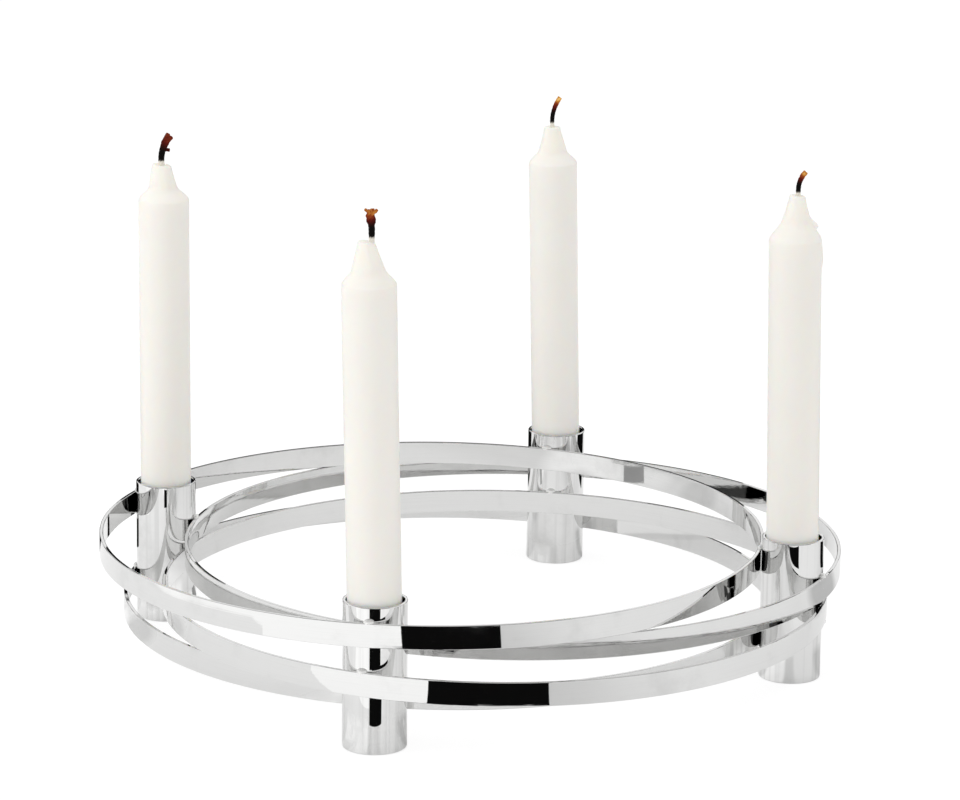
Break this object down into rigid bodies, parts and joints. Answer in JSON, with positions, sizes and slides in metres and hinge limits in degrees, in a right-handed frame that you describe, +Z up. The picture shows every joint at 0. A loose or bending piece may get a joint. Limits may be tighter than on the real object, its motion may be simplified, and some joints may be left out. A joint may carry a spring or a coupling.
{
  "type": "advent candle holder",
  "caption": "Free-standing wreath of polished steel: upright tubes hold candles and are tied together by flat hoops on edge, each set off centre at its own level.",
  "frame": {"origin": "on the table, in the middle of the square of tubes", "axes": "+Z up along the candles; -Y from the middle to the front tube, +X to the right tube"},
  "size_m": [0.3131, 0.3132, 0.2198],
  "materials": {
    "steel": "mirror-polished stainless steel",
    "weld": "bare weld bead",
    "wax": "smooth candle wax",
    "wick": "charred cotton braid"
  },
  "bodies": {
    "wreath": {"band_bottom": "steel", "band_third": "steel", "band_second": "steel", "band_top": "steel", "tube_front": "steel", "tube_right": "steel", "tube_back": "steel", "tube_left": "steel", "floor_front": "steel", "floor_right": "steel", "floor_back": "steel", "floor_left": "steel", "weld_front_bottom": "weld", "weld_front_third": "weld", "weld_front_second": "weld", "weld_front_top": "weld", "weld_right_bottom": "weld", "weld_right_third": "weld", "weld_right_second": "weld", "weld_right_top": "weld", "weld_back_bottom": "weld", "weld_back_third": "weld", "weld_back_second": "weld", "weld_back_top": "weld", "weld_left_bottom": "weld", "weld_left_third": "weld", "weld_left_second": "weld", "weld_left_top": "weld"},
    "front_candle": {"candle_front": "wax", "wick_front": "wick"},
    "right_candle": {"candle_right": "wax", "wick_right": "wick"},
    "back_candle": {"candle_back": "wax", "wick_back": "wick"},
    "left_candle": {"candle_left": "wax", "wick_left": "wick"}
  },
  "joints": [
    {"name": "front_candle_lift", "type": "slide", "parent": "wreath", "child": "front_candle", "axis": [0, 0, 1], "range_m": [0, 0.045]},
    {"name": "right_candle_lift", "type": "slide", "parent": "wreath", "child": "right_candle", "axis": [0, 0, 1], "range_m": [0, 0.045]},
    {"name": "back_candle_lift", "type": "slide", "parent": "wreath", "child": "back_candle", "axis": [0, 0, 1], "range_m": [0, 0.045]},
    {"name": "left_candle_lift", "type": "slide", "parent": "wreath", "child": "left_candle", "axis": [0, 0, 1], "range_m": [0, 0.045]}
  ]
}
